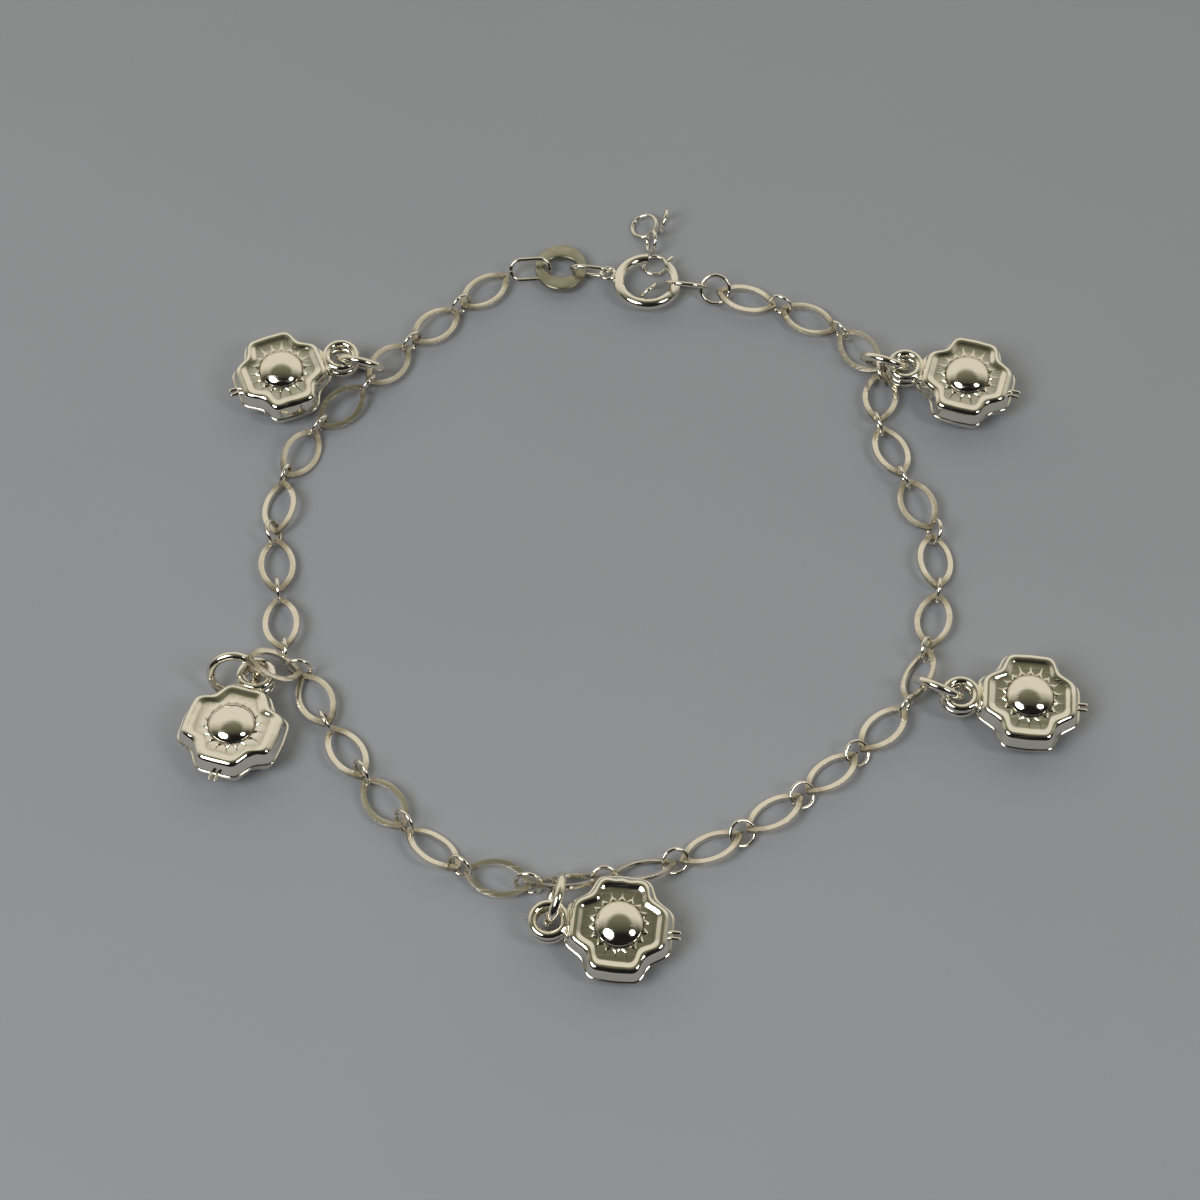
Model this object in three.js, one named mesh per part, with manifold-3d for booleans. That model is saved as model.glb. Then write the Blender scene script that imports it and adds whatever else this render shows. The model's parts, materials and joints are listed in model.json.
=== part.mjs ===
// Silver charm bracelet lying on a table: a marquise-link chain with five puffed
// flower charms, a tag link and a bolt-ring clasp. Millimetres, +Z up, table at z = 0.
import * as THREE from "three";
import { mergeVertices } from "three/addons/utils/BufferGeometryUtils.js";
import Module from "manifold-3d";

const wasm = await Module();
wasm.setup();

// ---------------------------------------------------------------- driving dimensions
const link = { length: 5.6, width: 3.1, side: 0.46, tip: 0.46, thick: 0.34, arcSteps: 3 };
const joiner = { radius: 1.02, wire: 0.34, around: 10, section: 5 };
const pitch = 5.93;          // from one joining ring to the next
const laidHeight = 0.76;     // height at which the joining rings hold the link ends
const weld = 0.2;            // how far a joining ring is pushed on from that point
const ringTurn = 0.8;        // how far it has turned to the heading of the link it holds

const flower = {
  radius: 4.55,              // centre to the corners of a petal end, on the seam
  valley: 0.81,              // share of that radius between two petals
  notch: 0.925,              // share of that radius in the middle of a petal end
  seam: 0.3,
  bulge: 1.25,               // height of each stamped half beyond the seam
  slope: 0.95,               // how far the halves draw in from the seam to the rim
  floor: 1.15,               // height of the petal floor inside the rim
  domeRadius: 1.8,
  domeTop: 2.0,
};
const bail = { reach: 5.45, radius: 1.27, rim: 0.37, lift: 0.42, neckWidth: 1.9 };
const nub = { reach: 4.75, size: 0.5 };
const charmRing = { radius: 1.875, wire: 0.75, around: 14, section: 6 };

const clasp = {
  at: [4.2, 33.2, 1.15],
  radius: 2.6,               // centre line of the tube
  tube: 0.52,
  bore: 0.42,
  rod: 0.24,
  mouth: [0, 44],            // degrees round the ring, anticlockwise from +X
  socket: 10,                // how far the rod's tip enters the tube's far end
  channel: 96,               // how far the bore runs back from the mouth
  trigger: 51,
  slot: [46, 108],
  eyelet: { at: 165, radius: 0.62, wire: 0.36 },
};
const tag = { at: [-3.6, 35.0], length: 4.7, width: 5.2, hole: [3.0, 2.3], thick: 0.5, height: 0.62 };

// ---------------------------------------------------------------- how the chain is laid
// One row for each link, from the clasp's right side clockwise round to the tag.
// heading: compass of the link, degrees from +X.  roll: its left edge up.
// lean: the ring at its end, tipped from upright.  lift: height of that ring's joint.
// slack: how far the link lies back from taut.  leave, leaveLift: where the next link
// hangs, if that isn't the link's end.
const start = { at: [10.25, 32.3], lift: 0.9 };
const laid = [
  { heading: -17, roll: -4, lean: -4 },
  { heading: -28, roll: 4, lean: 9 },
  { heading: -52, roll: 32, lean: 21, slack: 0.05, lift: 0.85 },
  { heading: -96, roll: 1, lean: 10, slack: 0.3 },
  { heading: -72, roll: -6, lean: 14 },
  { heading: -70, roll: 12, lean: -25 },
  { heading: -89, roll: -12, lean: -1 },
  { heading: -101, roll: 8, lean: 22 },
  { heading: -112, roll: 39, lean: -1, slack: 0.2, lift: 0.9 },
  { heading: -134, roll: 14, lean: 54 },
  { heading: -140, roll: 20, lean: 53 },
  { heading: -145, roll: 19, lean: 54 },
  { heading: -153, roll: 22, lean: 42 },
  { heading: -165, roll: 35, lean: 36, lift: 1.1, slack: 0.1 },
  { heading: -175, roll: 45, lean: 18, lift: 0.96, slack: 0.02 },
  { heading: 166, roll: -10, lean: 12, slack: 0.3 },
  { heading: 140, roll: 24, lean: 14 },
  { heading: 129, roll: -8, lean: 10, slack: 0.2 },
  { heading: 121, roll: 12, lean: -16, slack: 0.3 },
  { heading: 117, roll: -12, lean: 5, slack: 0.24, lift: 0.5 },
  { heading: 192, roll: 3, lean: 9, slack: 0.14, lift: 4.45, leave: [-1.4, -1.8], leaveLift: 1.2 },
  { heading: 99, roll: -8, lean: 3 },
  { heading: 96, roll: 5, lean: -26 },
  { heading: 87, roll: -19, lean: 9 },
  { heading: 64, roll: 24, lean: 13 },
  { heading: 47, roll: 19, lean: 25, lift: 1.3 },
  { heading: 52, roll: 23, lean: 2, slack: -0.05, lift: 1.0 },
  { heading: 45, roll: 8, lean: -2, slack: -0.1 },
  { heading: 42, roll: 4, slack: 0, lift: 0.8 },
];

// Charms and the rings that hang them. heading: from the flower's centre to its bail.
// near: degrees its left-hand side is raised, seen from the centre towards the bail.
// tip: degrees its bail is down.  ring: from the link to the bail, tipped by lean.
const charms = [
  { at: [31.9, 21.2], heading: 163, near: -5, ring: { heading: -20, lean: 30 } },
  { at: [34.5, -11.1], heading: 174, near: -4, ring: { heading: -27, lean: 29 } },
  { at: [1.4, -31.15], heading: 173, near: -7, ring: { heading: -101, lean: -15 } },
  { at: [-29.5, -13.8], heading: 74, tip: 3, ring: { heading: 3, lean: -23 } },
  { at: [-27.9, 21.8], heading: 22, near: 5, ring: { heading: 165, lean: -30 } },
];

// Loose rings and ovals near the clasp; stretch lengthens a ring into an oval.
const looseRings = [
  { name: "oval_ring", at: [-6.4, 34.8], heading: 5, lean: -35, radius: 0.95, stretch: 0.8, wire: 0.4 },
  { name: "tag_ring", at: [-0.95, 34.5], heading: -8, lean: 18, radius: 0.95, stretch: 0.75, wire: 0.4 },
  { name: "hook_ring", at: [7.69, 32.68], heading: -8, lean: 38, radius: 1.6, stretch: 0.25, wire: 0.42 },
  { name: "end_ring", at: [10.29, 32.33], heading: -16, lean: -43, dip: 12, radius: 1.28, wire: 0.36 },
  { name: "inner_ring", at: [4.2, 32.35], heading: 48, lean: 30, radius: 0.95, wire: 0.36 },
  { name: "back_ring_1", at: [4.9, 35.9], heading: 98, lean: 90, radius: 1.05, wire: 0.36 },
  { name: "back_ring_2", at: [4.6, 38.0], heading: 100, lean: 20, radius: 0.95, wire: 0.36 },
  { name: "back_ring_3", at: [4.0, 40.2], heading: 110, lean: 70, radius: 1.15, wire: 0.36 },
  { name: "back_ring_4", at: [5.8, 40.3], heading: 80, lean: 10, radius: 1.05, wire: 0.36 },
];

// ---------------------------------------------------------------- finishes
const finishes = {
  satin: { color: 0xb9b4a2, roughness: 0.28, metalness: 1 },
  mirror: { color: 0xcfc9b4, roughness: 0.12, metalness: 1 },
  dull: { color: 0x8f8b7c, roughness: 0.35, metalness: 1 },
};

// ---------------------------------------------------------------- solids
const rad = THREE.MathUtils.degToRad;

function solid(geometry) {
  const bare = geometry.index ? geometry.clone() : geometry;
  bare.deleteAttribute("normal");
  bare.deleteAttribute("uv");
  const merged = mergeVertices(bare, 1e-4);
  const corners = [];
  for (let i = 0; i < merged.index.count; i += 3) {
    const [a, b, c] = merged.index.array.slice(i, i + 3);
    if (a !== b && b !== c && c !== a) corners.push(a, b, c);
  }
  const mesh = new wasm.Mesh({
    numProp: 3,
    vertProperties: new Float32Array(merged.attributes.position.array),
    triVerts: new Uint32Array(corners),
  });
  return new wasm.Manifold(mesh);
}

function geometryOf(manifold) {
  const mesh = manifold.getMesh();
  const geometry = new THREE.BufferGeometry();
  geometry.setAttribute("position", new THREE.BufferAttribute(mesh.vertProperties, 3));
  geometry.setIndex(new THREE.BufferAttribute(mesh.triVerts, 1));
  return geometry;
}

function join(...geometries) {
  return geometryOf(geometries.map(solid).reduce((all, next) => all.add(next)));
}

function cut(geometry, ...tools) {
  return geometryOf(tools.map(solid).reduce((left, tool) => left.subtract(tool), solid(geometry)));
}

function piece(name, geometry, finish) {
  const mesh = new THREE.Mesh(geometry, new THREE.MeshStandardMaterial(finishes[finish]));
  mesh.name = name;
  return mesh;
}

// A wire ring standing upright along X; stretch pulls its two ends apart into an oval.
function wireRing({ radius, wire, stretch = 0, around = 12, section = 5 }) {
  const geometry = new THREE.TorusGeometry(radius, wire / 2, section, around);
  geometry.rotateZ(Math.PI / around);
  const position = geometry.attributes.position;
  for (let i = 0; i < position.count; i += 1) {
    position.setX(i, position.getX(i) + Math.sign(position.getX(i)) * stretch);
  }
  return geometry.rotateX(Math.PI / 2);
}

// A group at a place, turned by heading, then dip (nose down) and lean (top to its right).
function pose({ at, heading = 0, dip = 0, lean = 0 }) {
  const group = new THREE.Group();
  group.rotation.set(rad(lean), rad(dip), rad(heading), "ZYX");
  group.position.set(at[0], at[1], at[2] ?? 0);
  return group;
}

// Lower or raise a posed group until its lowest point is on the table.
function restOnTable(group) {
  group.updateMatrixWorld(true);
  group.position.z -= new THREE.Box3().setFromObject(group, true).min.z;
  return group;
}

// ---------------------------------------------------------------- links
// Two equal arcs that meet in points at x = -length/2 and x = +length/2.
function marquise(path, length, width) {
  const half = length / 2;
  const rise = width / 2;
  const radius = (half * half + rise * rise) / (2 * rise);
  const sweep = Math.asin(half / radius);
  path.absarc(0, rise - radius, radius, Math.PI / 2 - sweep, Math.PI / 2 + sweep, false);
  path.absarc(0, radius - rise, radius, -Math.PI / 2 - sweep, -Math.PI / 2 + sweep, false);
  return path;
}

function linkPlate() {
  const shape = marquise(new THREE.Shape(), link.length, link.width);
  const eye = new THREE.Path();
  shape.holes.push(marquise(eye, link.length - 2 * link.tip, link.width - 2 * link.side));
  const plate = new THREE.ExtrudeGeometry(shape, {
    depth: link.thick,
    bevelEnabled: false,
    curveSegments: link.arcSteps,
  });
  return plate.translate(0, 0, -link.thick / 2);
}

// The height at which a link of this roll clears the table.
function linkHeight(roll, wanted) {
  const turn = Math.abs(rad(roll));
  const needed = (link.width / 2) * Math.sin(turn) + (link.thick / 2) * Math.cos(turn);
  return Math.max(wanted, needed);
}

function chain() {
  const group = new THREE.Group();
  let joint = new THREE.Vector3(start.at[0], start.at[1], start.lift);
  laid.forEach((row, index) => {
    const last = index === laid.length - 1;
    const endLift = row.lift ?? laidHeight;
    const reach = pitch / 2 - (row.slack ?? 0);
    const dip = -Math.asin((endLift - joint.z) / (reach + pitch / 2));
    const ahead = new THREE.Vector3(1, 0, 0);
    ahead.applyEuler(new THREE.Euler(rad(row.roll), dip, rad(row.heading), "ZYX"));
    const centre = joint.clone().addScaledVector(ahead, reach);
    centre.z = linkHeight(row.roll, centre.z);

    const frame = new THREE.Group();
    frame.rotation.set(rad(row.roll), dip, rad(row.heading), "ZYX");
    frame.position.copy(centre);
    frame.updateMatrixWorld(true);

    const leave = row.leave ?? [pitch / 2, 0];
    const next = frame.localToWorld(new THREE.Vector3(leave[0], leave[1], 0));
    next.z = row.leaveLift ?? endLift;

    let geometry = linkPlate();
    if (!last) {
      const after = laid[index + 1];
      const heading = row.leave ? after.heading : turnTowards(row.heading, after.heading, ringTurn);
      const ring = wireRing(joiner);
      const height = Math.max(next.z, joiner.radius * Math.cos(rad(row.lean)) + joiner.wire / 2);
      const aside = (next.z - height) * Math.tan(rad(row.lean));
      const push = new THREE.Vector3(weld, aside, 0).applyEuler(new THREE.Euler(0, 0, rad(heading)));
      const spot = pose({ at: [next.x + push.x, next.y + push.y, height], heading, lean: row.lean });
      spot.updateMatrixWorld(true);
      const toLink = frame.matrixWorld.clone().invert().multiply(spot.matrixWorld);
      geometry = join(geometry, ring.applyMatrix4(toLink));
    }
    const name = `link_${String(index + 1).padStart(2, "0")}`;
    frame.add(piece(name, geometry, "satin"));
    group.add(frame);
    joint = next;
  });
  return group;
}

function turnTowards(from, to, share) {
  const turn = ((to - from + 540) % 360) - 180;
  return from + turn * share;
}

// ---------------------------------------------------------------- flower charms
// Four broad petals, each with an end that dips in the middle; one carries the bail.
function petalOutline(shrink) {
  const petals = 4;
  const corners = [
    { share: -0.5, reach: flower.valley },
    { share: -0.28, reach: 1 },
    { share: 0, reach: flower.notch },
    { share: 0.28, reach: 1 },
  ];
  const shape = new THREE.Shape();
  const points = [];
  for (let petal = 0; petal < petals; petal += 1) {
    corners.forEach(({ share, reach }) => {
      const angle = ((petal + share) * 2 * Math.PI) / petals;
      const radius = flower.radius * reach - shrink;
      points.push(new THREE.Vector2(radius * Math.cos(angle), radius * Math.sin(angle)));
    });
  }
  return shape.setFromPoints(points);
}

function flowerBody() {
  const half = flower.seam / 2;
  const puffed = new THREE.ExtrudeGeometry(petalOutline(0), {
    depth: flower.seam,
    bevelThickness: flower.bulge,
    bevelSize: flower.slope,
    bevelOffset: -flower.slope,
    bevelSegments: 2,
  });
  puffed.translate(0, 0, -half);
  const scoop = new THREE.ExtrudeGeometry(petalOutline(flower.slope + 0.25), {
    depth: flower.bulge,
    bevelEnabled: false,
  });
  const front = scoop.clone().translate(0, 0, flower.floor);
  const back = scoop.clone().translate(0, 0, -flower.floor - flower.bulge);
  return cut(puffed, front, back);
}

function dome() {
  const shoulder = [flower.domeRadius * 0.6, flower.domeTop - 0.22];
  const foot = [flower.domeRadius, flower.floor - 0.2];
  const profile = [
    new THREE.Vector2(0, -flower.domeTop),
    new THREE.Vector2(shoulder[0], -shoulder[1]),
    new THREE.Vector2(foot[0], -foot[1]),
    new THREE.Vector2(foot[0], foot[1]),
    new THREE.Vector2(shoulder[0], shoulder[1]),
    new THREE.Vector2(0, flower.domeTop),
  ];
  return new THREE.LatheGeometry(profile, 12).rotateX(Math.PI / 2);
}

// The bail is stamped with the halves: two rounded rims, one above the other.
function bailRims() {
  const rims = [1, -1].map((side) => {
    const rim = new THREE.TorusGeometry(bail.radius, bail.rim, 5, 12);
    return rim.translate(bail.reach, 0, side * bail.lift);
  });
  const neckStart = flower.radius * flower.valley - 0.6;
  const neckEnd = bail.reach - bail.radius;
  const neck = new THREE.BoxGeometry(neckEnd - neckStart, bail.neckWidth, 2 * bail.lift);
  neck.translate((neckStart + neckEnd) / 2, 0, 0);
  return [...rims, neck];
}

function charmGeometry() {
  const nubStart = flower.radius * flower.valley - 0.5;
  const nubBar = new THREE.BoxGeometry(nub.reach - nubStart, nub.size, nub.size);
  nubBar.translate(-(nubStart + nub.reach) / 2, 0, 0);
  return join(flowerBody(), dome(), ...bailRims(), nubBar);
}

// The centre of a ring that stands on the table and runs through the middle of the bail.
function hangingPoint(body, { heading, lean }) {
  const eye = body.localToWorld(new THREE.Vector3(bail.reach, 0, 0));
  const upright = Math.cos(rad(lean));
  const height = charmRing.radius * upright + charmRing.wire / 2;
  const rise = (eye.z - height) / upright;
  const along = Math.sqrt(charmRing.radius ** 2 - rise ** 2);
  const offset = new THREE.Vector3(-along, rise * Math.sin(rad(lean)), 0);
  eye.add(offset.applyAxisAngle(new THREE.Vector3(0, 0, 1), rad(heading)));
  return [eye.x, eye.y, 0];
}

function charmPieces() {
  const group = new THREE.Group();
  const geometry = charmGeometry();
  charms.forEach((row, index) => {
    const body = new THREE.Group();
    body.rotation.set(rad(row.near ?? 0), rad(row.tip ?? 0), rad(row.heading), "ZYX");
    body.position.set(row.at[0], row.at[1], 0);
    body.add(piece(`flower_charm_${index + 1}`, geometry.clone(), "mirror"));
    group.add(restOnTable(body));
    body.updateMatrixWorld(true);

    const holder = pose({ at: hangingPoint(body, row.ring), ...row.ring });
    holder.add(piece(`charm_ring_${index + 1}`, wireRing(charmRing), "mirror"));
    group.add(restOnTable(holder));
  });
  return group;
}

// ---------------------------------------------------------------- clasp and tag
// A bent bar round the clasp's centre, from one angle to another, with a round section.
class ClaspArc extends THREE.Curve {
  constructor(from, to) {
    super();
    this.from = rad(from);
    this.sweep = rad(to - from);
  }

  getPoint(t, target = new THREE.Vector3()) {
    const angle = this.from + this.sweep * t;
    return target.set(clasp.radius * Math.cos(angle), clasp.radius * Math.sin(angle), 0);
  }
}

function bentBar(from, to, thickness, sides = 8) {
  const section = new THREE.Shape();
  const corners = [];
  for (let i = 0; i < sides; i += 1) {
    const angle = ((i + 0.5) * 2 * Math.PI) / sides;
    corners.push(new THREE.Vector2(thickness * Math.cos(angle), thickness * Math.sin(angle)));
  }
  section.setFromPoints(corners);
  return new THREE.ExtrudeGeometry(section, {
    extrudePath: new ClaspArc(from, to),
    steps: Math.ceil(Math.abs(to - from) / 11),
  });
}

// A flat sector round the clasp's centre.
function sector(from, to, inner, outer, height) {
  const shape = new THREE.Shape();
  shape.absarc(0, 0, outer, rad(from), rad(to), false);
  shape.absarc(0, 0, inner, rad(to), rad(from), true);
  const plate = new THREE.ExtrudeGeometry(shape, { depth: height, bevelEnabled: false, curveSegments: 6 });
  return plate.translate(0, 0, -height / 2);
}

function claspCase() {
  const [mouthStart, mouthEnd] = clasp.mouth;
  const tube = bentBar(mouthEnd, 360 + mouthStart, clasp.tube);
  const channel = bentBar(mouthEnd - 2, mouthEnd + clasp.channel, clasp.bore);
  const socket = bentBar(mouthStart - clasp.socket, mouthStart + 2, clasp.bore);
  const slot = sector(clasp.slot[0], clasp.slot[1], clasp.radius, clasp.radius + 1, 0.72);
  const { at, radius, wire } = clasp.eyelet;
  const eyelet = new THREE.TorusGeometry(radius, wire / 2, 6, 12);
  eyelet.translate(clasp.radius + clasp.tube + radius - 0.05, 0, 0).rotateZ(rad(at));
  return cut(join(tube, eyelet), channel, socket, slot);
}

function claspBolt() {
  const [mouthStart, mouthEnd] = clasp.mouth;
  const rod = bentBar(mouthStart - clasp.socket + 4, mouthEnd + 32, clasp.rod);
  const trigger = new THREE.CylinderGeometry(0.2, 0.24, 1.05, 8);
  trigger.rotateZ(-Math.PI / 2).translate(clasp.radius + 0.55, 0, 0).rotateZ(rad(clasp.trigger));
  return join(rod, trigger);
}

function tagPlate() {
  const shape = new THREE.Shape();
  shape.absellipse(0, 0, tag.length / 2, tag.width / 2, 0, 2 * Math.PI, false, 0);
  const hole = new THREE.Path();
  hole.absellipse(0, 0, tag.hole[0] / 2, tag.hole[1] / 2, 0, 2 * Math.PI, true, 0);
  shape.holes.push(hole);
  return new THREE.ExtrudeGeometry(shape, { depth: tag.thick, bevelEnabled: false, curveSegments: 20 });
}

function fastening() {
  const group = new THREE.Group();
  const ring = new THREE.Group();
  ring.position.set(...clasp.at);
  ring.add(piece("clasp_case", claspCase(), "mirror"));
  ring.add(piece("clasp_bolt", claspBolt(), "mirror"));
  group.add(ring);

  const plate = piece("tag_link", tagPlate(), "dull");
  plate.position.set(tag.at[0], tag.at[1], tag.height);
  group.add(plate);

  looseRings.forEach((row) => {
    const holder = pose(row);
    holder.add(piece(row.name, wireRing(row), "satin"));
    group.add(restOnTable(holder));
  });
  return group;
}

// ---------------------------------------------------------------- the bracelet
const bracelet = new THREE.Group();
bracelet.add(chain(), charmPieces(), fastening());

// The origin is on the table, under the middle of the whole bracelet.
const middle = new THREE.Box3().setFromObject(bracelet, true).getCenter(new THREE.Vector3());
bracelet.position.set(-middle.x, -middle.y, 0);

export default bracelet;
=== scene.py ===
import json
import math

import bpy
import numpy as np
from mathutils import Matrix, Vector


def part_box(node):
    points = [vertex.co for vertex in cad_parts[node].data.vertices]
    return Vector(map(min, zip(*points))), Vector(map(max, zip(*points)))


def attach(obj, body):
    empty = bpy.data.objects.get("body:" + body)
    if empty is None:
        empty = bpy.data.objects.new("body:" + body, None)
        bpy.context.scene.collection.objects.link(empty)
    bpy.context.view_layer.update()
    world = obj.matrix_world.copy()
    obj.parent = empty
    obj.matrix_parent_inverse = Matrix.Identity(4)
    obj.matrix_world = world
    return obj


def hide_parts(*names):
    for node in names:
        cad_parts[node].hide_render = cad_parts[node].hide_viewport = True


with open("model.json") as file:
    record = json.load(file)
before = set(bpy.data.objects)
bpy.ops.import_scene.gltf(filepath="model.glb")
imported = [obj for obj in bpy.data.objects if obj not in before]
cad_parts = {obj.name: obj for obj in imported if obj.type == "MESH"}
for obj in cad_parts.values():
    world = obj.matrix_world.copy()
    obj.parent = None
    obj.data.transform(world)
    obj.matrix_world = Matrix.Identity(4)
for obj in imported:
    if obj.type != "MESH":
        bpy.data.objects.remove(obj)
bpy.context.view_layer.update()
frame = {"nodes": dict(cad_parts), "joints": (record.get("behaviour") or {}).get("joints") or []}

MM = 0.001
TURN = 2 * math.pi

# ---------------------------------------------------------------- sizes, in millimetres
LINK = {"length": 5.6, "width": 3.1, "strip": 0.46, "thick": 0.34}
JOINER = {"radius": 1.02, "wire": 0.34}
FLOWER = {
    # A quarter of the seam's outline: degrees from the bail and distance from the middle.
    # The first and last points are the dips in two petals' ends, the middle one the valley.
    "outline": ((0, 4.16), (22, 4.44), (46, 3.72), (64, 4.6), (90, 4.28)),
    "rounding": 11,     # degrees over which the outline's corners are eased
    "wall": 0.84,       # how far the crest stands in from the seam
    "seam": 0.09,       # half the thickness of the flange where the halves meet
    "crest": 1.31,      # top of the petals above the seam
    "shoulder": 0.5,    # rounding of the petals' upper edge
    "slope": 0.6,       # run from the crest down to the floor
    "floor": 1.16,      # flat floor inside the petals
    "dome": 1.88,       # radius of the middle dome
    "dome_top": 2.0,
    "teeth": 18,
    "tooth": 0.36,      # length of the stamped teeth round the dome
    "around": 360,
}
BAIL = {"reach": 5.45, "radius": 1.27, "rim": 0.37, "lift": 0.42}
NECK = {"overlap": 1.1, "width": 2.5, "height": 1.2, "flare": (1.25, 1.2), "rounding": 0.3}
TIP = {"reach": 6.97, "radii": (0.34, 0.08), "length": 0.55, "rounding": 0.06}
PRONG = {"reach": 4.03, "apart": 0.24, "radius": 0.17, "length": 1.5, "rounding": 0.1}
TAG = {"length": 4.7, "width": 5.2, "hole": (3.0, 2.3), "thick": 0.5}
CLASP = {
    "radius": 2.6,
    "tube": 0.52,
    "bore": 0.42,
    "rod": 0.24,
    "mouth": (0, 44),   # degrees, as meant: see bent_bar for where the pieces really lie
    "channel": 96,
    "socket": 10,
    "slot": (46, 108),
    "trigger": {"at": 51, "stand_off": 0.55, "radius": 0.22, "length": 1.05},
    "cutter": {"reach": 1.0, "height": 0.72},
    "eyelet": {"at": 165, "radius": 0.62, "wire": 0.36},
}
CHARM_RING = {"radius": 1.875, "wire": 0.75}
LOOSE_RINGS = {         # radius of the wire's middle, wire, half of the straight side
    "oval_ring": (0.95, 0.4, 0.8),
    "tag_ring": (0.95, 0.4, 0.75),
    "hook_ring": (1.6, 0.42, 0.25),
    "end_ring": (1.28, 0.36, 0),
    "inner_ring": (0.95, 0.36, 0),
    "back_ring_1": (1.05, 0.36, 0),
    "back_ring_2": (0.95, 0.36, 0),
    "back_ring_3": (1.15, 0.36, 0),
    "back_ring_4": (1.05, 0.36, 0),
}

CAMERA = {"aim": (-2.7, -3.04, 0), "tilt": 57.7, "distance": 217.6, "lens": 78}
WINDOW_DISTANCE = 0.5   # metres

# Small dents in the charms: charm, place on the upper half, radius and depth.
DENTS = (
    ("flower_charm_3", (-2.5, -2.8, 1.35), 0.42, 0.16),
    ("flower_charm_3", (-0.4, -3.9, 1.3), 0.45, 0.12),
    ("flower_charm_3", (0.7, -3.9, 1.3), 0.4, 0.1),
    ("flower_charm_4", (-2.4, -3.1, 1.2), 0.42, 0.16),
    ("flower_charm_1", (2.9, -2.4, 1.2), 0.6, 0.1),
    ("flower_charm_2", (-3.3, -1.2, 1.3), 0.6, 0.08),
    ("flower_charm_5", (-0.3, -3.6, 1.1), 0.6, 0.12),
)


# ---------------------------------------------------------------- hands
def alone(obj):
    bpy.ops.object.select_all(action="DESELECT")
    obj.select_set(True)
    bpy.context.view_layer.objects.active = obj


def named(name):
    obj = bpy.context.object
    obj.name = name
    bpy.ops.object.transform_apply(location=True, rotation=True, scale=True)
    return obj


def start_edit(obj):
    alone(obj)
    bpy.ops.object.mode_set(mode="EDIT")
    bpy.ops.mesh.select_mode(type="VERT")
    bpy.ops.mesh.select_all(action="SELECT")


def end_edit():
    bpy.ops.object.mode_set(mode="OBJECT")


def select_where(obj, test):
    """Selects, in object mode, the vertices whose place passes the test."""
    mesh = obj.data
    mesh.polygons.foreach_set("select", [False] * len(mesh.polygons))
    mesh.edges.foreach_set("select", [False] * len(mesh.edges))
    for vertex in mesh.vertices:
        vertex.select = test(vertex.co)


def apply_modifier(obj, kind, **settings):
    alone(obj)
    modifier = obj.modifiers.new(kind.lower(), kind)
    for key, value in settings.items():
        setattr(modifier, key, value)
    bpy.ops.object.modifier_apply(modifier=modifier.name)


def combine(obj, other, operation="UNION"):
    apply_modifier(obj, "BOOLEAN", object=other, operation=operation, solver="EXACT")
    bpy.data.objects.remove(other)
    return obj


def soften(obj, width, segments=3, angle=35):
    apply_modifier(
        obj, "BEVEL", width=width, segments=segments, limit_method="ANGLE",
        angle_limit=math.radians(angle), harden_normals=False,
    )


def smooth(obj, angle=40):
    alone(obj)
    bpy.ops.object.shade_smooth_by_angle(angle=math.radians(angle))
    return obj


def outward(obj, merge=0.0005):
    start_edit(obj)
    bpy.ops.mesh.remove_doubles(threshold=merge)
    bpy.ops.mesh.normals_make_consistent(inside=False)
    end_edit()
    return obj


# ---------------------------------------------------------------- where the pieces lie
def corners(node):
    obj = frame["nodes"][node]
    places = np.empty(len(obj.data.vertices) * 3)
    obj.data.vertices.foreach_get("co", places)
    return places.reshape(-1, 3) / MM


def facets(node):
    mesh = frame["nodes"][node].data
    mesh.calc_loop_triangles()
    index = np.array([triangle.vertices for triangle in mesh.loop_triangles])
    return corners(node)[index]


def spread(node):
    """Middle of a node's surface and its main directions as unit rows, widest first."""
    triangles = facets(node)
    cross = np.cross(triangles[:, 1] - triangles[:, 0], triangles[:, 2] - triangles[:, 0])
    area = np.linalg.norm(cross, axis=1)[:, None]
    centres = triangles.mean(1)
    middle = (centres * area).sum(0) / area.sum()
    away = centres - middle
    directions = np.linalg.eigh((away * area).T @ away)[1]
    return middle, directions.T[::-1]


def placing(centre, along, up):
    """Matrix from a shape drawn in millimetres to its place in metres."""
    up = Vector(up).normalized()
    along = (Vector(along) - up * Vector(along).dot(up)).normalized()
    across = up.cross(along)
    turn = Matrix((along, across, up)).transposed().to_4x4()
    return Matrix.Translation(Vector(centre) * MM) @ turn @ Matrix.Scale(MM, 4)


def ring_place(node):
    middle, (longest, second, thinnest) = spread(node)
    if LOOSE_RINGS.get(node, (0, 0, 0))[2] > 0:
        return placing(middle, longest, thinnest)
    level = Vector(thinnest).cross(Vector((0, 0, 1)))
    along = level if level.length > 0.1 else Vector((1, 0, 0))
    return placing(middle, along, thinnest)


def charm_place(node):
    middle, (longest, second, thinnest) = spread(node)
    up = thinnest * math.copysign(1, thinnest[2])
    reach = (corners(node) - middle) @ longest
    along = longest if reach.max() > -reach.min() else -longest
    reach = corners(node) @ along
    level = corners(node) @ up
    across = np.cross(up, along)
    side = corners(node) @ across
    far = BAIL["reach"] + BAIL["radius"] + BAIL["rim"]
    centre = along * (reach.max() - far)
    centre = centre + up * (level.max() + level.min()) / 2
    centre = centre + across * (side.max() + side.min()) / 2
    return placing(centre, along, up)


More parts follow.
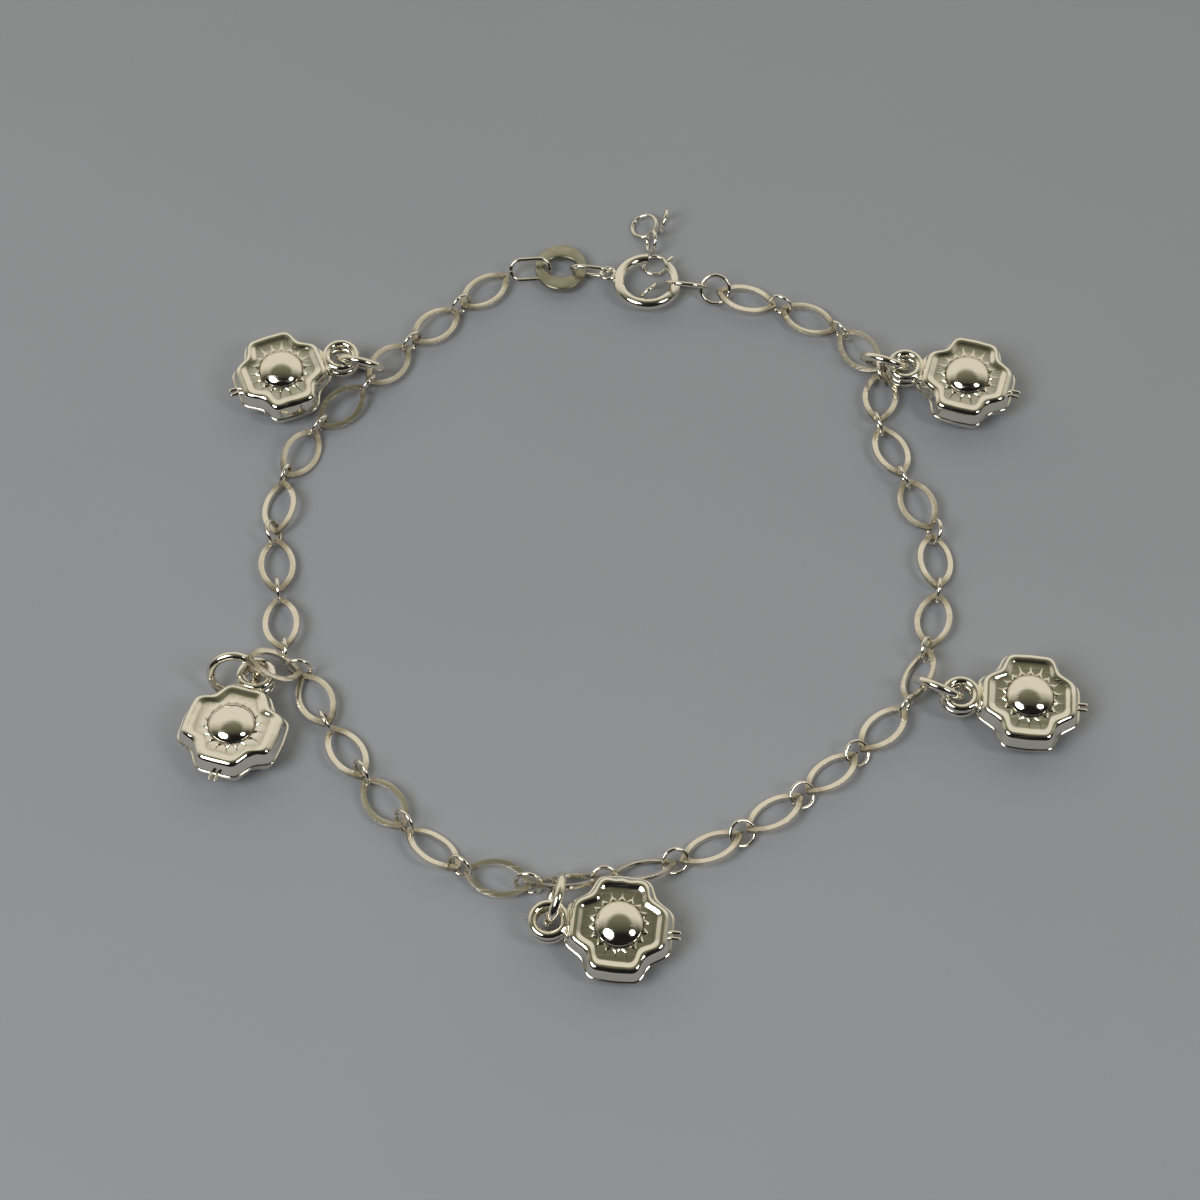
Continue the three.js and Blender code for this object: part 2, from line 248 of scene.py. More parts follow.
def link_place(node):
    """Places of a link's plate and of the joining ring at its end, if it has one."""
    triangles = facets(node)
    cross = np.cross(triangles[:, 1] - triangles[:, 0], triangles[:, 2] - triangles[:, 0])
    area = np.linalg.norm(cross, axis=1)
    up = cross[area.argmax()] / area.max()
    up = up * math.copysign(1, up[2])
    flat = np.abs(cross @ up) > 0.999 * area
    plate = triangles[flat].reshape(-1, 3)
    level = plate @ up
    middle_level = (level.max() + level.min()) / 2
    top = plate[level > middle_level]
    apart = np.linalg.norm(top[:, None] - top[None], axis=2)
    first, second = np.unravel_index(apart.argmax(), apart.shape)
    centre = (top[first] + top[second]) / 2
    centre = centre + up * (middle_level - centre @ up)
    along = (top[second] - top[first]) / apart.max()

    places = corners(node)
    beyond = np.abs(places @ up - middle_level) > LINK["thick"] / 2 + 0.02
    wire = places[beyond]
    if len(wire) < 12:
        return placing(centre, along, up), None
    if (wire.mean(0) - centre) @ along < 0:
        along = -along
    middle = wire.mean(0)
    normal = np.linalg.svd(wire - middle)[2][2]
    for _ in range(2):
        outer = wire[np.abs((wire - middle) @ normal) < 0.05]
        frame_x = np.cross(normal, up)
        frame_x = frame_x / np.linalg.norm(frame_x)
        frame_y = np.cross(normal, frame_x)
        flat_places = np.stack([(outer - middle) @ frame_x, (outer - middle) @ frame_y], 1)
        table = np.column_stack([2 * flat_places, np.ones(len(flat_places))])
        answer = np.linalg.lstsq(table, (flat_places ** 2).sum(1), rcond=None)[0]
        middle = middle + frame_x * answer[0] + frame_y * answer[1]
    return placing(centre, along, up), placing(middle, frame_x, normal)


# ---------------------------------------------------------------- shared patterns
def group_node(tree, group, **values):
    node = tree.nodes.new("ShaderNodeGroup")
    node.node_tree = group
    for key, value in values.items():
        node.inputs[key.replace("_", " ")].default_value = value
    return node


def new_group(name, inputs, outputs):
    group = bpy.data.node_groups.new(name, "ShaderNodeTree")
    for label, kind in inputs:
        group.interface.new_socket(name=label, in_out="INPUT", socket_type=kind)
    for label, kind in outputs:
        group.interface.new_socket(name=label, in_out="OUTPUT", socket_type=kind)
    entry = group.nodes.new("NodeGroupInput")
    leave = group.nodes.new("NodeGroupOutput")
    return group, entry, leave


def math_node(tree, operation, first, second=None, clamp=False):
    node = tree.nodes.new("ShaderNodeMath")
    node.operation = operation
    node.use_clamp = clamp
    for socket, value in zip(node.inputs, (first, second)):
        if value is None:
            continue
        if isinstance(value, (int, float)):
            socket.default_value = value
        else:
            tree.links.new(value, socket)
    return node.outputs[0]


def noise(tree, vector, scale, detail=2.0, rough=0.5):
    node = tree.nodes.new("ShaderNodeTexNoise")
    node.inputs["Scale"].default_value = scale
    node.inputs["Detail"].default_value = detail
    node.inputs["Roughness"].default_value = rough
    tree.links.new(vector, node.inputs["Vector"])
    return node.outputs["Fac"]


def remap(tree, value, low, high, to_low=0.0, to_high=1.0):
    node = tree.nodes.new("ShaderNodeMapRange")
    node.inputs["From Min"].default_value = low
    node.inputs["From Max"].default_value = high
    node.inputs["To Min"].default_value = to_low
    node.inputs["To Max"].default_value = to_high
    tree.links.new(value, node.inputs["Value"])
    return node.outputs["Result"]


def scratches_group():
    """Hairline scratches in three directions, and faint handling ripples."""
    group, entry, leave = new_group(
        "hairline_scratches",
        [("Place", "NodeSocketVector"), ("Scratch depth", "NodeSocketFloat"),
         ("Ripple depth", "NodeSocketFloat")],
        [("Height", "NodeSocketFloat"), ("Scratch mask", "NodeSocketFloat")],
    )
    lines = None
    for turn, stretch in ((0.4, 1.0), (1.7, 1.3), (2.6, 0.8)):
        mapping = group.nodes.new("ShaderNodeMapping")
        mapping.inputs["Rotation"].default_value = (0.3 * turn, 0.2, turn)
        mapping.inputs["Scale"].default_value = (260 * stretch, 5200 * stretch, 900)
        group.links.new(entry.outputs["Place"], mapping.inputs["Vector"])
        streak = noise(group, mapping.outputs[0], 1.0, detail=1.0)
        line = remap(group, streak, 0.66, 0.72)
        lines = line if lines is None else math_node(group, "MAXIMUM", lines, line)
    ripple = noise(group, entry.outputs["Place"], 900.0, detail=2.0)
    deep = math_node(group, "MULTIPLY", lines, entry.outputs["Scratch depth"])
    wave = math_node(group, "MULTIPLY", ripple, entry.outputs["Ripple depth"])
    group.links.new(math_node(group, "SUBTRACT", wave, deep), leave.inputs["Height"])
    group.links.new(lines, leave.inputs["Scratch mask"])
    return group


def tarnish_group():
    """Grey-brown tarnish that gathers in recesses, and clouds of it on open metal."""
    group, entry, leave = new_group(
        "tarnish",
        [("Place", "NodeSocketVector"), ("Recess", "NodeSocketFloat"),
         ("Cloud amount", "NodeSocketFloat"), ("Bright", "NodeSocketColor"),
         ("Dull", "NodeSocketColor")],
        [("Color", "NodeSocketColor"), ("Mask", "NodeSocketFloat")],
    )
    cloud = remap(group, noise(group, entry.outputs["Place"], 420.0, 4.0, 0.6), 0.45, 0.75)
    cloud = math_node(group, "MULTIPLY", cloud, entry.outputs["Cloud amount"])
    broken = remap(group, noise(group, entry.outputs["Place"], 2600.0, 3.0), 0.3, 0.6, 0.55, 1.0)
    deep = math_node(group, "MULTIPLY", entry.outputs["Recess"], broken)
    mask = math_node(group, "ADD", cloud, deep, clamp=True)
    mix = group.nodes.new("ShaderNodeMix")
    mix.data_type = "RGBA"
    group.links.new(mask, mix.inputs["Factor"])
    group.links.new(entry.outputs["Bright"], mix.inputs[6])
    group.links.new(entry.outputs["Dull"], mix.inputs[7])
    group.links.new(mix.outputs[2], leave.inputs["Color"])
    group.links.new(mask, leave.inputs["Mask"])
    return group


SCRATCHES = scratches_group()
TARNISH = tarnish_group()


def silver(name, bright, dull, rough, scratch, ripple, cloud, bump=0.35):
    """One silver finish. rough: polished and tarnished roughness."""
    material = bpy.data.materials.new(name)
    material.use_nodes = True
    tree = material.node_tree
    shader = tree.nodes["Principled BSDF"]
    shader.inputs["Metallic"].default_value = 1.0
    place = tree.nodes.new("ShaderNodeTexCoord").outputs["Object"]
    recess = tree.nodes.new("ShaderNodeAttribute")
    recess.attribute_name = "recess"

    marks = group_node(tree, SCRATCHES, Scratch_depth=scratch, Ripple_depth=ripple)
    tree.links.new(place, marks.inputs["Place"])
    stain = group_node(
        tree, TARNISH, Cloud_amount=cloud, Bright=(*bright, 1), Dull=(*dull, 1)
    )
    tree.links.new(place, stain.inputs["Place"])
    tree.links.new(recess.outputs["Fac"], stain.inputs["Recess"])
    tree.links.new(stain.outputs["Color"], shader.inputs["Base Color"])

    roughness = remap(tree, stain.outputs["Mask"], 0, 1, rough[0], rough[1])
    scratched = math_node(tree, "MULTIPLY", marks.outputs["Scratch mask"], 0.12)
    tree.links.new(math_node(tree, "ADD", roughness, scratched), shader.inputs["Roughness"])
    relief = tree.nodes.new("ShaderNodeBump")
    relief.inputs["Strength"].default_value = bump
    relief.inputs["Distance"].default_value = 0.01 * MM
    tree.links.new(marks.outputs["Height"], relief.inputs["Height"])
    tree.links.new(relief.outputs["Normal"], shader.inputs["Normal"])
    return material


FINISHES = {
    "charm_silver": silver("charm_silver", (0.88, 0.85, 0.75), (0.26, 0.23, 0.16),
                           (0.07, 0.36), 0.35, 1.4, 0.05),
    "link_silver": silver("link_silver", (0.86, 0.81, 0.70), (0.42, 0.37, 0.27),
                          (0.2, 0.38), 0.35, 1.2, 0.22),
    "ring_silver": silver("ring_silver", (0.86, 0.82, 0.72), (0.32, 0.28, 0.20),
                          (0.12, 0.36), 0.3, 0.8, 0.15),
    "clasp_silver": silver("clasp_silver", (0.87, 0.84, 0.75), (0.28, 0.25, 0.18),
                           (0.11, 0.38), 0.35, 1.0, 0.1),
    "tag_silver": silver("tag_silver", (0.42, 0.40, 0.31), (0.20, 0.19, 0.14),
                         (0.26, 0.45), 0.5, 1.5, 0.6),
}


# ---------------------------------------------------------------- putting pieces down
def put(shape, name, place, finish, body, replaced=()):
    """A copy of a shape at its place, with its own mesh and nothing left on its object."""
    piece = bpy.data.objects.new(name, shape.data.copy())
    bpy.context.scene.collection.objects.link(piece)
    piece.data.name = name
    piece.data.transform(place)
    piece.data.materials.clear()
    piece.data.materials.append(FINISHES[finish])
    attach(piece, body)
    if replaced:
        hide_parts(*replaced)
    return piece


def set_recess(obj, depth):
    """Stores how deep each vertex lies, 0 to 1, where tarnish gathers."""
    layer = obj.data.attributes.new("recess", "FLOAT", "POINT")
    values = [min(1.0, max(0.0, depth(vertex.co))) for vertex in obj.data.vertices]
    layer.data.foreach_set("value", values)


# ---------------------------------------------------------------- wire rings
def wire_ring(name, radius, wire, side=0.0, around=64, section=16, gap=0.05):
    """Round wire bent to a ring whose ends almost meet, lying flat, with flat-cut ends."""
    bpy.ops.mesh.primitive_circle_add(
        vertices=section, radius=wire / 2, location=(radius, 0, 0), rotation=(math.pi / 2, 0, 0)
    )
    ring = named(name)
    start_edit(ring)
    sweep = TURN - gap / radius
    bpy.ops.mesh.spin(steps=around, angle=sweep, center=(0, 0, 0), axis=(0, 0, 1))
    bpy.ops.mesh.select_all(action="SELECT")
    bpy.ops.mesh.fill_holes(sides=section)
    end_edit()
    outward(ring)
    for direction in (1, -1):
        if side:
            select_where(ring, lambda co: co.x * direction > 0.01)
            alone(ring)
            bpy.ops.object.mode_set(mode="EDIT")
            bpy.ops.transform.translate(value=(direction * side, 0, 0))
            end_edit()
    soften(ring, wire * 0.08, segments=2, angle=50)
    set_recess(ring, lambda co: 0.0)
    return smooth(ring, 50)


# ---------------------------------------------------------------- chain links
def link_plate():
    """A flat strip bent to two equal arcs that meet in points."""
    half = LINK["length"] / 2
    rise = LINK["width"] / 2
    bend = (half * half + rise * rise) / (2 * rise)
    bpy.ops.mesh.primitive_circle_add(
        vertices=220, radius=bend, fill_type="NGON", location=(0, rise - bend, 0)
    )
    plate = named("link_shape")
    start_edit(plate)
    bpy.ops.mesh.bisect(plane_co=(0, 0, 0), plane_no=(0, 1, 0), clear_inner=True)
    bpy.ops.mesh.select_all(action="SELECT")
    bpy.ops.mesh.duplicate()
    bpy.ops.transform.rotate(
        value=math.pi, orient_axis="Z", orient_type="GLOBAL", center_override=(0, 0, 0)
    )
    bpy.ops.mesh.select_all(action="SELECT")
    bpy.ops.mesh.remove_doubles(threshold=0.001)
    bpy.ops.mesh.select_mode(type="FACE")
    bpy.ops.mesh.select_all(action="SELECT")
    bpy.ops.mesh.dissolve_faces()
    bpy.ops.mesh.select_all(action="SELECT")
    bpy.ops.mesh.inset(thickness=LINK["strip"], depth=0)
    bpy.ops.mesh.delete(type="FACE")
    end_edit()
    apply_modifier(plate, "SOLIDIFY", thickness=LINK["thick"], offset=0)
    outward(plate)
    soften(plate, 0.11, segments=4, angle=40)
    set_recess(plate, lambda co: 0.9 - 1.2 * (half - LINK["strip"] * 1.6 - abs(co.x)))
    return smooth(plate, 30)


def make_chain():
    plate = link_plate()
    joiner = wire_ring("joiner_shape", JOINER["radius"], JOINER["wire"], around=44, section=12)
    for node in sorted(frame["nodes"]):
        if not node.startswith("link_"):
            continue
        plate_at, ring_at = link_place(node)
        put(plate, f"{node}_plate", plate_at, "link_silver", "bracelet", [node])
        if ring_at is not None:
            put(joiner, f"{node}_ring", ring_at, "ring_silver", "bracelet")
    for shape in (plate, joiner):
        bpy.data.objects.remove(shape)


# ---------------------------------------------------------------- flower charms
def flower_outline():
    """Radius of the seam in every direction: straight sides between points, then eased."""
    around = FLOWER["around"]
    quarter = FLOWER["outline"]
    points = list(quarter) + [(180 - turn, reach) for turn, reach in quarter[-2::-1]]
    points += [(360 - turn, reach) for turn, reach in points[-2::-1]]
    turns = np.radians([turn for turn, _ in points])
    places = np.array([reach for _, reach in points])[:, None] * np.stack(
        [np.cos(turns), np.sin(turns)], 1
    )
    angles = np.arange(around) / around * TURN
    side = np.searchsorted(turns, angles, side="right") - 1
    start, end = places[side], places[side + 1]
    step = end - start
    ray = np.stack([np.cos(angles), np.sin(angles)], 1)
    sharp = (start[:, 0] * step[:, 1] - start[:, 1] * step[:, 0]) / (
        ray[:, 0] * step[:, 1] - ray[:, 1] * step[:, 0]
    )
    reach = round(FLOWER["rounding"] / 360 * around)
    weights = 1 + np.cos(np.arange(-reach, reach + 1) / (reach + 1) * math.pi)
    eased = sum(
        weight * np.roll(sharp, offset - reach) for offset, weight in enumerate(weights)
    )
    return eased / weights.sum()


OUTLINE = flower_outline()


def petal_edge(angle):
    return float(OUTLINE[round(angle / TURN * FLOWER["around"]) % FLOWER["around"]])


def ease(part):
    return (1 - math.cos(math.pi * min(1.0, max(0.0, part)))) / 2


def stamped_profile(angle):
    """Radius and height from the seam in to the middle, for one direction."""
    edge = petal_edge(angle)
    flange = FLOWER["seam"]
    floor = FLOWER["floor"]
    crest_at = edge - FLOWER["wall"]
    crest = FLOWER["crest"]
    points = [(edge - 0.03, 0.0), (edge, 0.02), (edge, flange * 0.7), (edge - 0.03, flange)]

    bend = FLOWER["shoulder"]
    first_turn = math.radians(16)
    low = (edge - 0.12, flange + 0.02)
    top = (crest_at + bend * math.cos(first_turn), crest - bend + bend * math.sin(first_turn))
    wall_steps = 4
    for step in range(wall_steps):
        part = step / wall_steps
        points.append((low[0] + (top[0] - low[0]) * part, low[1] + (top[1] - low[1]) * part))
    arc_steps = 9
    for step in range(arc_steps + 1):
        turn = first_turn + (math.pi / 2 - first_turn) * step / arc_steps
        points.append((crest_at + bend * math.cos(turn), crest - bend + bend * math.sin(turn)))

    base = FLOWER["dome"]
    teeth_end = base + FLOWER["tooth"] * 1.1
    foot = max(crest_at - FLOWER["slope"], teeth_end + 0.06)
    fall_steps = 7
    for step in range(1, fall_steps + 1):
        part = step / fall_steps
        points.append((crest_at + (foot - crest_at) * part, crest + (floor - crest) * ease(part)))

    ridge = 1 - abs((angle / TURN * FLOWER["teeth"]) % 1 * 2 - 1)
    for away in (1.1, 0.96, 0.82, 0.68, 0.54, 0.4, 0.26, 0.12):
        lift = min(1.0, max(0.0, (ridge - away * 0.9) * 4))
        points.append((base + FLOWER["tooth"] * away, floor + 0.08 * lift))
    points.append((base + 0.01, floor - 0.02))
    dome_steps = 13
    for step in range(dome_steps):
        turn = step / dome_steps * math.pi / 2
        height = floor - 0.01 + (FLOWER["dome_top"] - floor + 0.01) * math.sin(turn)
        points.append((base * math.cos(turn), height))
    return points


def flower_body():
    """Extrudes a loop inwards step by step, then shapes each loop to the stamped profile."""
    around = FLOWER["around"]
    loops = len(stamped_profile(0.0))
    shrink = 0.97
    bpy.ops.mesh.primitive_circle_add(vertices=around, radius=10)
    flower = named("flower_shape")
    start_edit(flower)
    for _ in range(loops - 1):
        bpy.ops.mesh.extrude_region_move()
        bpy.ops.transform.resize(value=(shrink, shrink, 1), center_override=(0, 0, 0))
    bpy.ops.mesh.extrude_region_move()
    bpy.ops.mesh.merge(type="CENTER")
    end_edit()
    profiles = {}
    for vertex in flower.data.vertices:
        reach = math.hypot(vertex.co.x, vertex.co.y)
        if reach < 0.01:
            vertex.co = (0, 0, FLOWER["dome_top"])
            continue
        loop = round(math.log(reach / 10) / math.log(shrink))
        angle = math.atan2(vertex.co.y, vertex.co.x)
        key = round(angle / TURN * around) % around
        if key not in profiles:
            profiles[key] = stamped_profile(key / around * TURN)
        radius, height = profiles[key][loop]
        vertex.co = (radius * math.cos(angle), radius * math.sin(angle), height)
    apply_modifier(flower, "MIRROR", use_axis=(False, False, True), merge_threshold=0.001)
    return outward(flower, 0.0001)


def bail_and_nub(flower):
    """Two rounded rims, one above the other, on a neck; opposite them, two tiny prongs."""
    for side in (1, -1):
        bpy.ops.mesh.primitive_torus_add(
            major_radius=BAIL["radius"], minor_radius=BAIL["rim"], major_segments=56,
            minor_segments=18, location=(BAIL["reach"], 0, side * BAIL["lift"]),
        )
        combine(flower, named("rim"))
    start = petal_edge(0) - NECK["overlap"]
    end = BAIL["reach"] - BAIL["radius"]
    bpy.ops.mesh.primitive_cube_add(
        size=1, location=((start + end) / 2, 0, 0),
        scale=(end - start, NECK["width"], NECK["height"]),
    )
    neck = named("neck")
    select_where(neck, lambda co: co.x < (start + end) / 2)
    alone(neck)
    bpy.ops.object.mode_set(mode="EDIT")
    bpy.ops.transform.resize(value=(1, *NECK["flare"]), center_override=(start, 0, 0))
    end_edit()
    soften(neck, NECK["rounding"], segments=5)
    combine(flower, neck)
    bpy.ops.mesh.primitive_cone_add(
        vertices=16, radius1=TIP["radii"][0], radius2=TIP["radii"][1], depth=TIP["length"],
        location=(TIP["reach"], 0, 0), rotation=(0, math.pi / 2, 0),
    )
    tip = named("tip")
    soften(tip, TIP["rounding"], segments=2)
    combine(flower, tip)
    for side in (1, -1):
        bpy.ops.mesh.primitive_cylinder_add(
            vertices=14, radius=PRONG["radius"], depth=PRONG["length"],
            location=(-PRONG["reach"], side * PRONG["apart"], 0), rotation=(0, math.pi / 2, 0),
        )
        prong = named("prong")
        soften(prong, PRONG["rounding"], segments=3)
        combine(flower, prong)


def charm_recess(co):
    """Deep at the foot of the dome, inside the crest, along the seam and between the rims."""
    reach = math.hypot(co.x, co.y)
    inside = petal_edge(math.atan2(co.y, co.x)) - FLOWER["wall"] - FLOWER["slope"]
    foot = 0.8 * math.exp(-(((reach - FLOWER["dome"] - 0.02) / 0.09) ** 2))
    groove = 0.45 * math.exp(-(((reach - inside) / 0.09) ** 2))
    seam = 0.7 * math.exp(-((co.z / 0.06) ** 2))
    between = 0.9 * math.exp(-((co.z / 0.12) ** 2)) if co.x > 4.3 else 0
    return max(foot, groove, seam, between)


def dent(piece, place, centre, radius, depth):
    """Pushes the skin in around a point, along the charm's own upright."""
    spot = place @ Vector(centre)
    inward = (place.to_3x3() @ Vector(-Vector(centre))).normalized()
    reach = radius * MM
    for vertex in piece.data.vertices:
        away = (vertex.co - spot).length / reach
        if away < 2.5:
            vertex.co += inward * depth * MM * math.exp(-away * away)


def make_charms():
    shape = flower_body()
    bail_and_nub(shape)
    outward(shape, 0.0002)
    set_recess(shape, charm_recess)
    smooth(shape, 50)
    ring = wire_ring(
        "charm_ring_shape", CHARM_RING["radius"], CHARM_RING["wire"], around=96, section=24
    )
    for node in sorted(frame["nodes"]):
        if node.startswith("flower_charm_"):
            place = charm_place(node)
            charm = put(shape, f"{node}_stamped", place, "charm_silver", "bracelet", [node])
            for owner, centre, radius, depth in DENTS:
                if owner == node:
                    dent(charm, place, centre, radius, depth)
        elif node.startswith("charm_ring_"):
            put(ring, f"{node}_wire", ring_place(node), "ring_silver", "bracelet", [node])
    for made in (shape, ring):
        bpy.data.objects.remove(made)


# ---------------------------------------------------------------- clasp
def bent_bar(name, start, end, radius, section=24):
    """A round bar bent round the clasp's middle, as long as the angle between start and end.

    The spin runs clockwise, so the bar lies from start to 2 * start - end, in degrees. The
    mouth therefore opens at 44 to 88 degrees, and the rod lies away from its trigger.
    """
    bpy.ops.mesh.primitive_circle_add(
        vertices=section, radius=radius, location=(CLASP["radius"], 0, 0),
        rotation=(math.pi / 2, 0, 0),
    )
    bar = named(name)
    start_edit(bar)
    bpy.ops.transform.rotate(
        value=-math.radians(start), orient_axis="Z", orient_type="GLOBAL",
        center_override=(0, 0, 0),
    )
    steps = max(6, round(abs(end - start) / 4))
    bpy.ops.mesh.spin(
        steps=steps, angle=math.radians(end - start), center=(0, 0, 0), axis=(0, 0, 1)
    )
    bpy.ops.mesh.select_all(action="SELECT")
    bpy.ops.mesh.fill_holes(sides=section)
    end_edit()
    return outward(bar)


def thumb_slot():
    """The curved block that cuts the outer side of the tube; it also runs clockwise."""
    start, end = CLASP["slot"]
    cutter = CLASP["cutter"]
    bpy.ops.mesh.primitive_plane_add(
        size=1, location=(CLASP["radius"] + cutter["reach"] / 2, 0, 0),
        rotation=(math.pi / 2, 0, 0), scale=(cutter["reach"], cutter["height"], 1.0),
    )
    block = named("slot_block")
    start_edit(block)
    bpy.ops.transform.rotate(
        value=-math.radians(start), orient_axis="Z", orient_type="GLOBAL",
        center_override=(0, 0, 0),
    )
    bpy.ops.mesh.spin(
        steps=16, angle=math.radians(end - start), center=(0, 0, 0), axis=(0, 0, 1)
    )
    bpy.ops.mesh.select_all(action="SELECT")
    bpy.ops.mesh.fill_holes(sides=4)
    end_edit()
    return outward(block)


def make_clasp():
    mouth_start, mouth_end = CLASP["mouth"]
    case = bent_bar("case_shape", mouth_end, 360 + mouth_start, CLASP["tube"], section=28)
    eyelet = CLASP["eyelet"]
    bpy.ops.mesh.primitive_torus_add(
        major_radius=eyelet["radius"], minor_radius=eyelet["wire"] / 2, major_segments=40,
        minor_segments=14,
    )
    loop = named("eyelet_shape")
    reach = CLASP["radius"] + CLASP["tube"] + eyelet["radius"] - 0.05
    turn = math.radians(eyelet["at"])
    loop.location = (reach * math.cos(turn), reach * math.sin(turn), 0)
    alone(loop)
    bpy.ops.object.transform_apply(location=True)
    combine(case, loop)
    for start, end in (
        (mouth_end - 2, mouth_end + CLASP["channel"]),
        (mouth_start - CLASP["socket"], mouth_start + 2),
    ):
        combine(case, bent_bar("bore", start, end, CLASP["bore"]), "DIFFERENCE")
    combine(case, thumb_slot(), "DIFFERENCE")
    outward(case, 0.001)
    set_recess(case, lambda co: 0.9 if math.hypot(math.hypot(co.x, co.y) - CLASP["radius"],
                                                  co.z) < CLASP["bore"] + 0.02 else 0.0)
    smooth(case, 35)

    rod = bent_bar("bolt_shape", mouth_start - CLASP["socket"] + 4, mouth_end + 32, CLASP["rod"], 16)
    soften(rod, 0.1, segments=3)
    trigger = CLASP["trigger"]
    knob_turn = math.radians(trigger["at"])
    knob_reach = CLASP["radius"] + trigger["stand_off"]
    bpy.ops.mesh.primitive_cylinder_add(
        vertices=20, radius=trigger["radius"], depth=trigger["length"],
        rotation=(0, math.pi / 2, 0),
    )
    knob = named("trigger_shape")
    soften(knob, 0.12, segments=4)
    knob.rotation_euler = (0, 0, knob_turn)
    knob.location = (knob_reach * math.cos(knob_turn), knob_reach * math.sin(knob_turn), 0)
    alone(knob)
    bpy.ops.object.transform_apply(location=True, rotation=True)
    combine(rod, knob)
    set_recess(rod, lambda co: 0.0)
    smooth(rod, 40)

    centre = Vector(frame["joints"][0]["pos_m"]) / MM
    place = placing(centre, (1, 0, 0), (0, 0, 1))
    put(case, "clasp_case_tube", place, "clasp_silver", "bracelet", ["clasp_case"])
    put(rod, "clasp_bolt_rod", place, "clasp_silver", "clasp_bolt", ["clasp_bolt"])
    for made in (case, rod):
        bpy.data.objects.remove(made)


# ---------------------------------------------------------------- tag and loose rings
def make_tag():
    """A flat oval plate with an oval hole, softly rounded, left bare."""
    bpy.ops.mesh.primitive_circle_add(vertices=96, radius=1)
    tag = named("tag_shape")
    start_edit(tag)
    bpy.ops.transform.resize(
        value=(TAG["length"] / 2, TAG["width"] / 2, 1), center_override=(0, 0, 0)
    )
    bpy.ops.mesh.duplicate()
    bpy.ops.transform.resize(
        value=(TAG["hole"][0] / TAG["length"], TAG["hole"][1] / TAG["width"], 1),
        center_override=(0, 0, 0),
    )
    bpy.ops.mesh.select_all(action="SELECT")
    bpy.ops.mesh.bridge_edge_loops()
    end_edit()
    apply_modifier(tag, "SOLIDIFY", thickness=TAG["thick"], offset=0)
    outward(tag)
    soften(tag, 0.16, segments=4)
    set_recess(tag, lambda co: 0.7 - math.hypot(co.x / 1.5, co.y / 1.15) * 0.5)
    smooth(tag, 30)
    low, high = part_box("tag_link")
    place = placing((low + high) / 2 / MM, (1, 0, 0), (0, 0, 1))
    put(tag, "tag_plate", place, "tag_silver", "bracelet", ["tag_link"])
    bpy.data.objects.remove(tag)


def make_loose_rings():
    for node, (radius, wire, side) in LOOSE_RINGS.items():
        ring = wire_ring(f"{node}_shape", radius, wire, side, around=56, section=16)
        put(ring, f"{node}_wire", ring_place(node), "ring_silver", "bracelet", [node])
        bpy.data.objects.remove(ring)


# ---------------------------------------------------------------- table, light and camera
def make_table():
    bpy.ops.mesh.primitive_plane_add(size=4)
    table = named("table")
    material = bpy.data.materials.new("table_paper")
    material.use_nodes = True
    tree = material.node_tree
    shader = tree.nodes["Principled BSDF"]
    place = tree.nodes.new("ShaderNodeTexCoord").outputs["Object"]
    tone = tree.nodes.new("ShaderNodeValToRGB")
    tone.color_ramp.elements[0].color = (0.335, 0.352, 0.392, 1)
    tone.color_ramp.elements[1].color = (0.375, 0.392, 0.432, 1)
    tree.links.new(noise(tree, place, 14.0, 5.0, 0.55), tone.inputs["Fac"])
    tree.links.new(tone.outputs["Color"], shader.inputs["Base Color"])
    shader.inputs["Roughness"].default_value = 0.7
    table.data.materials.append(material)


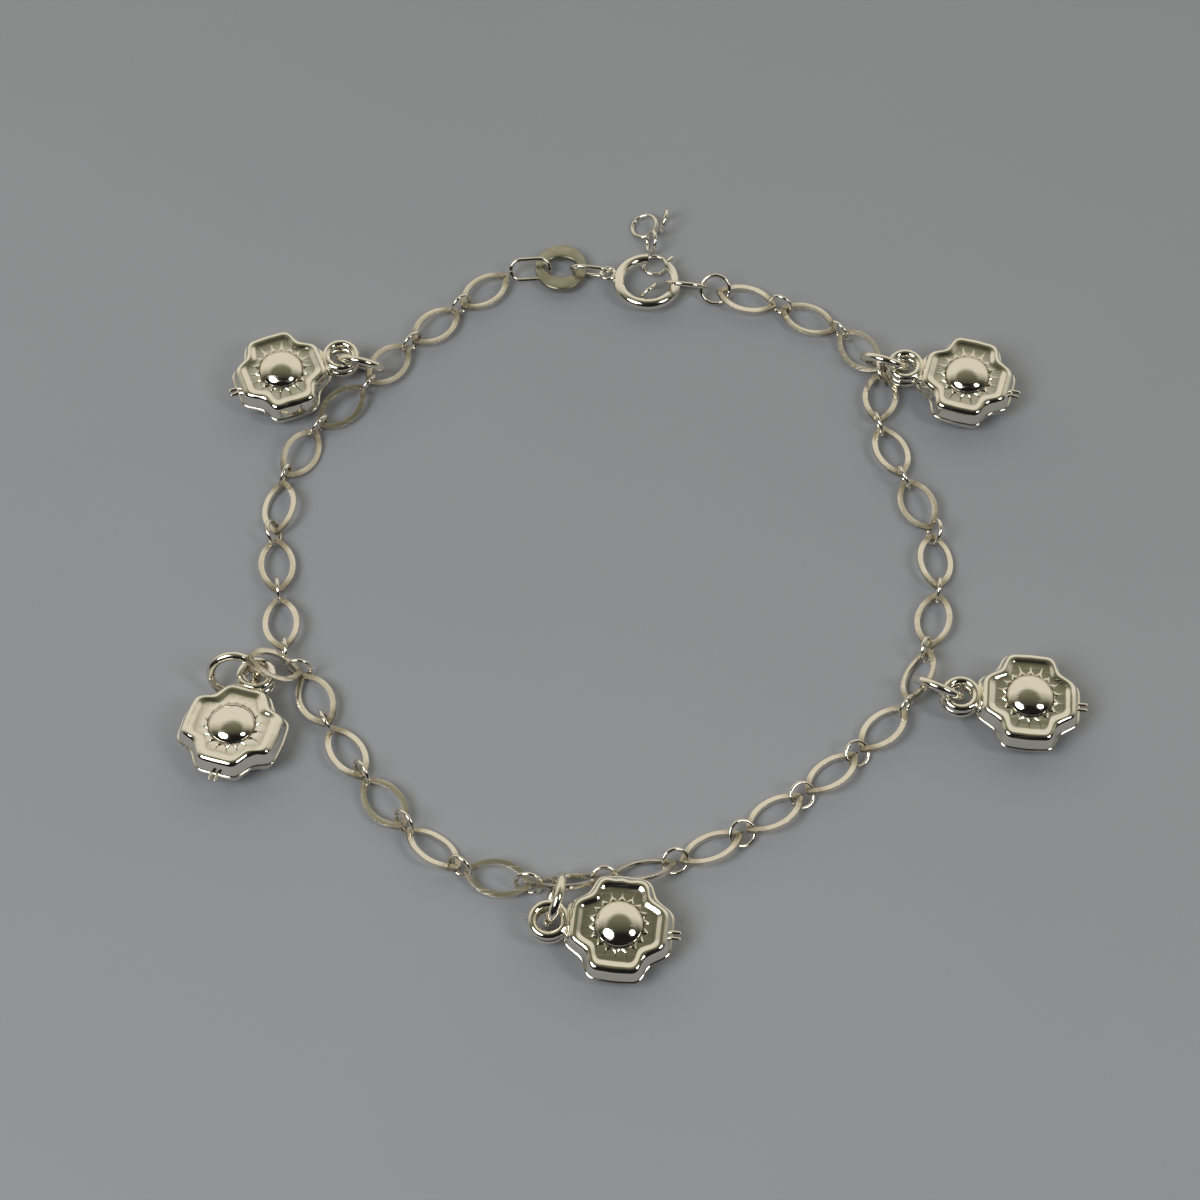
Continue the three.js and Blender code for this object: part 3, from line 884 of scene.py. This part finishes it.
def make_room():
    """Dark room; a pale wall low on the far side, olive above it, near black behind the viewer."""
    world = bpy.data.worlds.new("room")
    bpy.context.scene.world = world
    world.use_nodes = True
    tree = world.node_tree
    direction = tree.nodes.new("ShaderNodeTexCoord").outputs["Generated"]
    parts = tree.nodes.new("ShaderNodeSeparateXYZ")
    tree.links.new(direction, parts.inputs[0])
    far = remap(tree, parts.outputs["Y"], -0.05, 0.45)
    low = remap(tree, parts.outputs["Z"], 0.83, 0.91, 1.0, 0.0)
    wall = math_node(tree, "MULTIPLY", far, low)
    above = tree.nodes.new("ShaderNodeMix")
    above.data_type = "RGBA"
    above.inputs[6].default_value = (0.012, 0.012, 0.012, 1)
    above.inputs[7].default_value = (0.19, 0.185, 0.12, 1)
    tree.links.new(remap(tree, parts.outputs["Y"], -0.35, 0.35), above.inputs["Factor"])
    colour = tree.nodes.new("ShaderNodeMix")
    colour.data_type = "RGBA"
    colour.inputs[7].default_value = (0.74, 0.70, 0.60, 1)
    tree.links.new(wall, colour.inputs["Factor"])
    tree.links.new(above.outputs[2], colour.inputs[6])
    tree.links.new(colour.outputs[2], tree.nodes["Background"].inputs["Color"])
    tree.nodes["Background"].inputs["Strength"].default_value = 1.0


def window(name, azimuth, elevation, size, power, colour):
    """A soft oval light aimed at the bracelet. size: metres, power: watts."""
    data = bpy.data.lights.new(name, "AREA")
    data.shape = "ELLIPSE"
    data.size, data.size_y = size
    data.energy = power
    data.color = colour
    light = bpy.data.objects.new(name, data)
    bpy.context.scene.collection.objects.link(light)
    level = math.cos(math.radians(elevation))
    away = Vector((
        math.sin(math.radians(azimuth)) * level,
        -math.cos(math.radians(azimuth)) * level,
        math.sin(math.radians(elevation)),
    ))
    light.location = away * WINDOW_DISTANCE
    light.rotation_mode = "QUATERNION"
    light.rotation_quaternion = away.to_track_quat("Z", "Y")


def make_camera():
    """Looks down at the table from the wearer's side, a little off the bracelet's middle."""
    aim = Vector(CAMERA["aim"]) * MM
    tilt = math.radians(CAMERA["tilt"])
    data = bpy.data.cameras.new("camera")
    data.lens = CAMERA["lens"]
    data.sensor_width = 36
    data.clip_start = 0.01
    camera = bpy.data.objects.new("camera", data)
    bpy.context.scene.collection.objects.link(camera)
    back = Vector((0, -math.cos(tilt), math.sin(tilt)))
    camera.location = aim + back * CAMERA["distance"] * MM
    camera.rotation_mode = "QUATERNION"
    camera.rotation_quaternion = back.to_track_quat("Z", "Y")
    bpy.context.scene.camera = camera


make_chain()
make_charms()
make_clasp()
make_tag()
make_loose_rings()
make_table()
make_room()
window("window_left", -52, 50, (0.27, 0.3), 1.1, (1.0, 0.99, 0.97))
window("window_right", 60, 47, (0.12, 0.22), 0.42, (1.0, 0.98, 0.94))
make_camera()
bpy.context.scene.view_settings.view_transform = "Standard"
